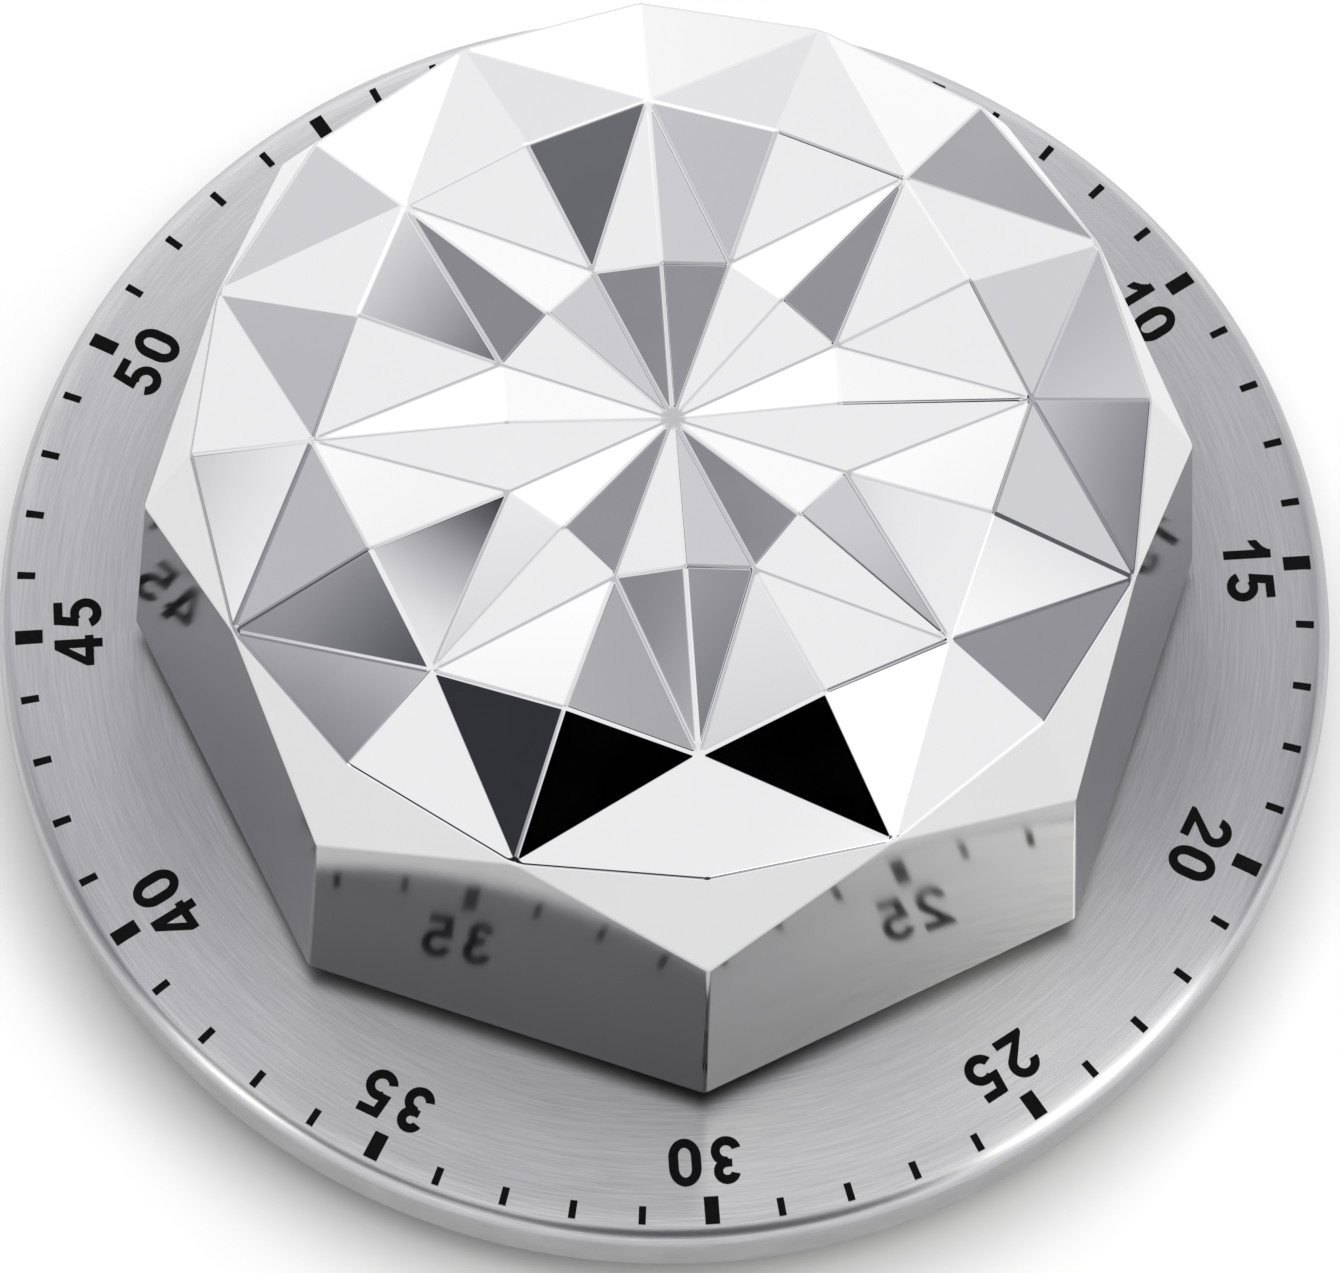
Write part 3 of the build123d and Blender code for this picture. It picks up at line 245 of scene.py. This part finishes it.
def brushed_dial():
    """Stainless steel brushed in circles round the knob, with painted shade on the skirt and on
    the face near the knob.
    """
    shade = Shade("brushed_dial")
    shade.set({"Metallic": 1.0, "Anisotropic": 0.9, "Anisotropic Rotation": 0.25})
    around = circular_position(shade)
    fine = shade.noise(scaled(shade, around, BRUSH_FINE), 1.0, 2, 0.6)
    broad = shade.noise(scaled(shade, around, BRUSH_BROAD), 1.0, 2)
    fine_part = shade.math("MULTIPLY", fine, 1 - BRUSH_BROAD_SHARE)
    broad_part = shade.math("MULTIPLY", broad, BRUSH_BROAD_SHARE)
    lines = shade.math("ADD", fine_part, broad_part)
    level = shade.ramp(lines, *NOISE_RANGE, 0, 1)
    tint = shade.colours(level, (0.49, 0.485, 0.50), (0.59, 0.585, 0.60))
    # painted shade on the skirt
    painted_skirt_shade = shade.ramp(shade.upward(), *SKIRT_SHADE_FACING, SKIRT_SHADE_LEVEL, 1.0)
    # painted shade on the face near the knob, darker towards the hole
    split = shade.add("ShaderNodeSeparateXYZ")
    shade.link(around, split.inputs[0])
    painted_knob_shade = shade.ramp(split.outputs["X"], *KNOB_SHADE_BAND, KNOB_SHADE_LEVEL, 1.0)
    shading = shade.math("MULTIPLY", painted_skirt_shade, painted_knob_shade)
    shade.feed("Base Color", scaled(shade, tint, shading))
    shade.feed("Roughness", shade.ramp(lines, *NOISE_RANGE, 0.26, 0.23))
    shade.bump(lines, 0.08, 0.01 * MM)
    tangent = shade.add("ShaderNodeTangent", direction_type="RADIAL", axis="Z")
    shade.feed("Tangent", tangent.outputs[0])
    return shade.material


def printed_ink():
    """Black screen print, slightly uneven."""
    shade = Shade("printed_ink")
    shade.set({"Specular IOR Level": 0.03})
    mottle = shade.noise(shade.position(), 2500, 3)
    tint = shade.colours(mottle, (0.001, 0.001, 0.001), (0.004, 0.004, 0.004))
    shade.feed("Base Color", tint)
    shade.feed("Roughness", shade.ramp(mottle, *NOISE_RANGE, 0.42, 0.58))
    shade.bump(mottle, 0.15, 0.01 * MM)
    return shade.material


def moulded_plastic(name, dark, light, rough, grain):
    """Moulded plastic with a fine spark-eroded grain."""
    shade = Shade(name)
    place = shade.position()
    cells = shade.noise(place, grain, 4, 0.6)
    tint = shade.colours(shade.noise(place, 60, 3), dark, light)
    shade.feed("Base Color", tint)
    smoothest = rough - PLASTIC_ROUGHNESS_SPREAD
    roughest = rough + PLASTIC_ROUGHNESS_SPREAD
    shade.feed("Roughness", shade.ramp(cells, *NOISE_RANGE, smoothest, roughest))
    shade.bump(cells, 0.35, 0.03 * MM)
    return shade.material


def machined_metal(name, dark, light, rough):
    """Turned or rolled metal with fine straight lines."""
    shade = Shade(name)
    shade.set({"Metallic": 1.0})
    place = scaled(shade, shade.position(), METAL_LINES)
    grain = shade.noise(place, 1.0, 3, 0.6)
    shade.feed("Base Color", shade.colours(grain, dark, light))
    smoothest = rough - METAL_ROUGHNESS_SPREAD
    roughest = rough + METAL_ROUGHNESS_SPREAD
    shade.feed("Roughness", shade.ramp(grain, *NOISE_RANGE, smoothest, roughest))
    shade.bump(grain, 0.2, 0.01 * MM)
    return shade.material


MATERIALS = {
    "steel_brushed": brushed_dial(),
    "ink_black": printed_ink(),
    "plated_plastic": chrome_plate(),
    "black_plastic": moulded_plastic(
        "black_plastic", (0.014, 0.014, 0.015), (0.024, 0.024, 0.026), 0.45, 5000
    ),
    "rubber_black": moulded_plastic(
        "rubber_black", (0.020, 0.020, 0.020), (0.034, 0.033, 0.032), 0.78, 2600
    ),
    "magnet_nickel": machined_metal(
        "magnet_nickel", (0.60, 0.58, 0.54), (0.72, 0.70, 0.66), 0.22
    ),
    "zinc_steel": machined_metal("zinc_steel", (0.50, 0.51, 0.53), (0.66, 0.67, 0.69), 0.30),
    "plate_steel": machined_metal("plate_steel", (0.42, 0.42, 0.43), (0.56, 0.56, 0.57), 0.33),
    "brass": machined_metal("brass", (0.66, 0.46, 0.18), (0.80, 0.60, 0.28), 0.26),
    "arbor_steel": machined_metal("arbor_steel", (0.44, 0.44, 0.45), (0.58, 0.58, 0.60), 0.24),
    "bell_steel": machined_metal("bell_steel", (0.58, 0.57, 0.54), (0.70, 0.69, 0.66), 0.16),
    "hammer_brass": machined_metal("hammer_brass", (0.62, 0.44, 0.18), (0.76, 0.57, 0.27), 0.30),
    "spring_steel": machined_metal("spring_steel", (0.13, 0.15, 0.22), (0.24, 0.27, 0.36), 0.22),
}

for row in frame["record"]["subparts"]:
    data = NODES[row["node"]].data
    data.materials.clear()
    data.materials.append(MATERIALS[row["material_slot"]])


# ===========================================================================
# Dial cover and knob: the CAD shapes with softer edges
# ===========================================================================


def shaped(shape, body, node, slot):
    """Makes a bmesh into the object that stands for a CAD node, its flats kept flat."""
    for face in shape.faces:
        face.smooth = True
    for edge in shape.edges:
        edge.smooth = edge.calc_face_angle(0) < SHARP
    mesh = bpy.data.meshes.new(node)
    shape.to_mesh(mesh)
    shape.free()
    mesh.materials.append(MATERIALS[slot])
    thing = bpy.data.objects.new(node + "_look", mesh)
    bpy.context.scene.collection.objects.link(thing)
    normals = thing.modifiers.new("flats", "WEIGHTED_NORMAL")
    normals.mode = "FACE_AREA"
    normals.weight = AREA_ONLY
    normals.keep_sharp = True
    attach(thing, body)
    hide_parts(node)


def dial_section():
    """Radius and height round the dial cover's section, starting in the hole."""
    points = [(DIAL_HOLE_R, DIAL_TOP - DIAL_SHEET), (DIAL_HOLE_R, DIAL_TOP)]
    width = DIAL_FALL_END - DIAL_FALL_START
    for step in range(FALL_STEPS):
        part = step / FALL_STEPS
        points.append((DIAL_FALL_START + width * part, DIAL_TOP - DIAL_FALL * part * part))
    slope = math.atan(2 * DIAL_FALL / width)
    reach = (DIAL_R - DIAL_FALL_END) / (1 - math.sin(slope))
    low = DIAL_TOP - DIAL_FALL - reach * math.cos(slope)
    for step in range(ROUND_STEPS + 1):
        angle = slope + (math.pi / 2 - slope) * step / ROUND_STEPS
        points.append((DIAL_R - reach + reach * math.sin(angle), low + reach * math.cos(angle)))
    points.append((DIAL_R, DIAL_SKIRT_FOOT))
    points.append((DIAL_R - DIAL_SHEET, DIAL_SKIRT_FOOT))
    points.append((DIAL_R - DIAL_SHEET, DIAL_TOP - DIAL_SHEET))
    return points


def smooth_dial():
    """The dial cover as a turned sheet whose face falls away softly to the rim."""
    shape = bmesh.new()
    section = dial_section()
    rings = []
    for side in range(DIAL_SIDES):
        turn = 2 * math.pi * side / DIAL_SIDES
        c, s = math.cos(turn), math.sin(turn)
        rings.append([shape.verts.new((r * c, r * s, z)) for r, z in section])
    for side in range(DIAL_SIDES):
        here, there = rings[side], rings[(side + 1) % DIAL_SIDES]
        for point in range(len(section)):
            onward = (point + 1) % len(section)
            shape.faces.new((here[point], here[onward], there[onward], there[point]))
    bmesh.ops.recalc_face_normals(shape, faces=shape.faces)
    shaped(shape, "base", "dial_cover", "steel_brushed")


def faces_out(face):
    """Whether a face is one of the knob's large outer facets or side walls."""
    middle = face.calc_center_median()
    outward = Vector((middle.x, middle.y, middle.length))
    return face.calc_area() > SMALLEST_FACET and face.normal.dot(outward) > 0


def rounded_knob():
    """The knob shell's own faces merged to whole facets, then given soft edges."""
    shape = bmesh.new()
    shape.from_mesh(NODES["knob_shell"].data)
    bmesh.ops.remove_doubles(shape, verts=shape.verts, dist=SAME_POINT)
    bmesh.ops.dissolve_limit(
        shape, angle_limit=SAME_FLAT, verts=shape.verts, edges=shape.edges
    )
    ridges = [
        edge
        for edge in shape.edges
        if len(edge.link_faces) == 2 and all(faces_out(face) for face in edge.link_faces)
    ]
    bmesh.ops.bevel(
        shape,
        geom=ridges,
        offset=KNOB_EDGE,
        offset_type="OFFSET",
        segments=KNOB_EDGE_STEPS,
        profile=0.5,
        affect="EDGES",
        clamp_overlap=False,
    )
    shaped(shape, "knob", "knob_shell", "plated_plastic")


smooth_dial()
rounded_knob()


# ===========================================================================
# Studio: a white dome with dark and bright patches, a floor and an overhead light
# ===========================================================================

DOME = 1.23
COOL_SHADE = 0.93  # power that leaves the darker patches slightly blue
# Each patch: turn from +X and height of its middle, then how far from there it is full
# and where it ends, all in degrees, then its level. The dome's own level is 1. Where
# shades overlap, the darkest counts. Lamps multiply what the shades leave.
SHADES = (
    ((-82, 70.5), (7, 11), 0.0),
    ((-131, 56), (12, 18), 0.02),
    ((-164, 63), (3.5, 9.5), 0.036),
    ((-176, 50), (7, 15), 0.10),
    ((168, 56), (3, 9), 0.12),
    ((48, 66), (2.4, 4.6), 0.0),
    ((51, 62), (2.2, 4.5), 0.16),
    ((65, 53), (0.4, 4.0), 0.05),
    ((63, 56), (1.5, 4.5), 0.2),
    ((21, 61), (3.2, 7.2), 0.25),
    ((14, 50), (7, 13), 0.12),
    ((32, 58), (3.5, 7.5), 0.34),
    ((38, 50), (7, 12), 0.45),
    ((50, 55), (4.5, 9), 0.47),
    ((54, 46), (3, 9), 0.72),
    ((63, 44), (2, 5), 0.55),
    ((31, 38), (4, 12), 0.75),
    ((147, 62), (4.3, 7.8), 0.29),
    ((150, 53), (5, 10), 0.35),
    ((118, 65), (0.8, 7), 0.62),
    ((126, 55), (2, 6), 0.74),
    ((148, 44), (4, 12), 0.57),
    ((132, 70), (1.5, 4.5), 0.3),
    ((88, 20), (4, 10), 0.92),
    ((84, 67), (4, 13), 0.62),
    ((0, 40), (6, 14), 0.35),
    ((180, 25), (10, 30), 0.4),
    ((-56, 60), (5, 10), 0.1),
    ((-102, 64), (5, 9), 0.01),
    ((-86, 43), (15, 27), 0.05),
    ((156, 12), (18, 34), 0.6),
    ((25, 14), (14, 30), 0.7),
)
LAMPS = (
    ((98, 43), (6, 12), 1.35),
    ((80, 43), (3, 10), 1.14),
    ((-14, 58), (3, 8), 1.18),
    ((0, 67), (2, 8), 1.7),
    ((-30, 50), (5, 16), 3.2),
    ((-24, 65), (2, 9), 3.0),
    ((-150, 28), (5, 14), 2.6),
)
FLOOR_R = 1.6
FLOOR_SIDES = 96
FLOOR_Z = -0.02 * MM
OVERHEAD_TURN = 40
OVERHEAD_HEIGHT = 86
OVERHEAD_DISTANCE = 0.9
OVERHEAD_SIZE = 1.0
OVERHEAD_WATTS = 14.0


def toward(turn, height):
    """A unit vector at a turn from +X and a height, both in degrees."""
    a, e = math.radians(turn), math.radians(height)
    return (math.cos(a) * math.cos(e), math.sin(a) * math.cos(e), math.sin(e))


class Dome(NodeTree):
    """The world's node tree, where soft round patches are combined."""

    def __init__(self):
        world = bpy.data.worlds.new("dome")
        bpy.context.scene.world = world
        super().__init__(world)
        self.direction = self.add("ShaderNodeTexCoord").outputs["Generated"]

    def patch(self, middle, reach, level):
        """Level near the middle, rising or falling smoothly to 1 at the edge."""
        dot = self.add("ShaderNodeVectorMath", operation="DOT_PRODUCT")
        self.link(self.direction, dot.inputs[0])
        dot.inputs[1].default_value = toward(*middle)
        angle = self.math("ARCCOSINE", dot.outputs["Value"])
        fade = self.add("ShaderNodeMapRange", interpolation_type="SMOOTHSTEP")
        self.link(angle, fade.inputs["Value"])
        fade.inputs["From Min"].default_value = math.radians(reach[0])
        fade.inputs["From Max"].default_value = math.radians(reach[1])
        fade.inputs["To Min"].default_value = level
        fade.inputs["To Max"].default_value = 1.0
        return fade.outputs["Result"]


def dome():
    """The white dome as the world's background."""
    sky = Dome()
    level = 1.0
    for shade in SHADES:
        level = sky.math("MINIMUM", level, sky.patch(*shade))
    for lamp in LAMPS:
        level = sky.math("MULTIPLY", level, sky.patch(*lamp))
    colour = sky.add("ShaderNodeCombineColor")
    for channel, power in (("Red", 1.0), ("Green", 1.0), ("Blue", COOL_SHADE)):
        sky.link(sky.math("POWER", level, power), colour.inputs[channel])
    background = sky.add("ShaderNodeBackground")
    sky.link(colour.outputs["Color"], background.inputs["Color"])
    background.inputs["Strength"].default_value = DOME
    output = sky.add("ShaderNodeOutputWorld")
    sky.link(background.outputs[0], output.inputs["Surface"])


def floor():
    """A wide pale disc under the timer."""
    bpy.ops.mesh.primitive_circle_add(
        vertices=FLOOR_SIDES, radius=FLOOR_R, fill_type="NGON", location=(0, 0, FLOOR_Z)
    )
    disc = bpy.context.active_object
    disc.name = "floor"
    shade = Shade("pale_floor")
    mottle = shade.noise(shade.position(), 40, 3)
    tint = shade.colours(mottle, (0.49, 0.49, 0.49), (0.51, 0.51, 0.51))
    shade.feed("Base Color", tint)
    shade.set({"Roughness": 0.9, "Specular IOR Level": 0.0})
    disc.data.materials.append(shade.material)


def overhead_light():
    """A square area light over the timer that mirrors and gloss don't show."""
    data = bpy.data.lights.new("overhead", "AREA")
    data.size = OVERHEAD_SIZE
    data.energy = OVERHEAD_WATTS
    light = bpy.data.objects.new("overhead", data)
    bpy.context.scene.collection.objects.link(light)
    light.location = Vector(toward(OVERHEAD_TURN, OVERHEAD_HEIGHT)) * OVERHEAD_DISTANCE
    light.rotation_mode = "QUATERNION"
    light.rotation_quaternion = (-light.location).to_track_quat("-Z", "Y")
    light.visible_glossy = False


dome()
floor()
overhead_light()


# ===========================================================================
# Camera
# ===========================================================================

SENSOR_MM = 36.0
LENS_MM = 153.95
CAMERA_TURN = -6.2335  # degrees round Z; 0 looks along +Y
CAMERA_HEIGHT = 67.514  # degrees above the horizon
CAMERA_ROLL = 2.4007  # degrees
CAMERA_DISTANCE = 0.33543
CAMERA_RIGHT = 0.00034  # sideways from the line to the dial's centre
CAMERA_UP = -0.002126
CAMERA_NEAR = 0.01
CAMERA_FAR = 20
DIAL_CENTRE = Vector((0, 0, DIAL_TOP))


def camera():
    """A long lens looking down on the dial from the front."""
    data = bpy.data.cameras.new("camera")
    data.sensor_width = SENSOR_MM
    data.lens = LENS_MM
    data.clip_start = CAMERA_NEAR
    data.clip_end = CAMERA_FAR
    cam = bpy.data.objects.new("camera", data)
    bpy.context.scene.collection.objects.link(cam)
    bpy.context.scene.camera = cam
    a, e = math.radians(CAMERA_TURN), math.radians(CAMERA_HEIGHT)
    roll = math.radians(CAMERA_ROLL)
    back = Vector((math.sin(a) * math.cos(e), -math.cos(a) * math.cos(e), math.sin(e)))
    right = Vector((math.cos(a), math.sin(a), 0))
    up = back.cross(right)
    place = DIAL_CENTRE + back * CAMERA_DISTANCE + right * CAMERA_RIGHT + up * CAMERA_UP
    rolled_right = right * math.cos(roll) + up * math.sin(roll)
    rolled_up = up * math.cos(roll) - right * math.sin(roll)
    turn = Matrix((rolled_right, rolled_up, back)).transposed().to_4x4()
    cam.matrix_world = Matrix.Translation(place) @ turn


camera()
bpy.context.scene.view_settings.view_transform = "Standard"
